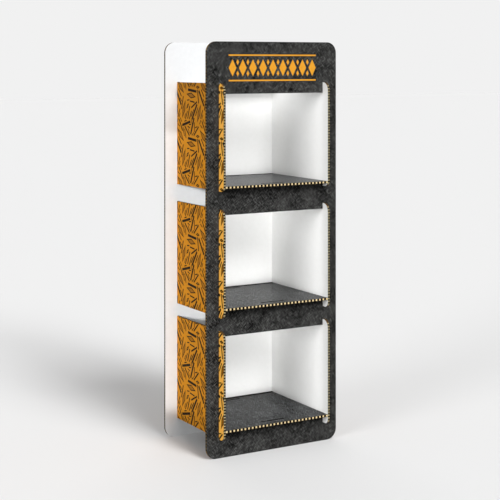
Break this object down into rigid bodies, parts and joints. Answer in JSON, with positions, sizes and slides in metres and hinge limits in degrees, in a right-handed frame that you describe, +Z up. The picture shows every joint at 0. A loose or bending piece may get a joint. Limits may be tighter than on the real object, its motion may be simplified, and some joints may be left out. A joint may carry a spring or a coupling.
{
  "type": "cardboard display stand",
  "caption": "Free-standing floor display of slotted fluted cardboard: window frames front and rear, folded U sleeves pushed through both, and shelves over tabs on the sills.",
  "frame": {"origin": "on the floor, midway across the stand's width and depth", "axes": "+X to the viewer's right, +Y from the front frame to the rear frame, +Z up"},
  "size_m": [0.52, 0.385, 1.4],
  "materials": {
    "slate_print": "matt print on fluted board",
    "white_liner": "matt white liner on fluted board",
    "ochre_print": "matt print on fluted board",
    "slate_shelf_print": "satin print on fluted board"
  },
  "bodies": {
    "root": {"front_frame": "slate_print", "rear_frame": "white_liner", "upper_sleeve": "ochre_print", "middle_sleeve": "ochre_print", "lower_sleeve": "ochre_print", "upper_shelf": "slate_shelf_print", "middle_shelf": "slate_shelf_print", "lower_shelf": "slate_shelf_print"}
  },
  "joints": []
}
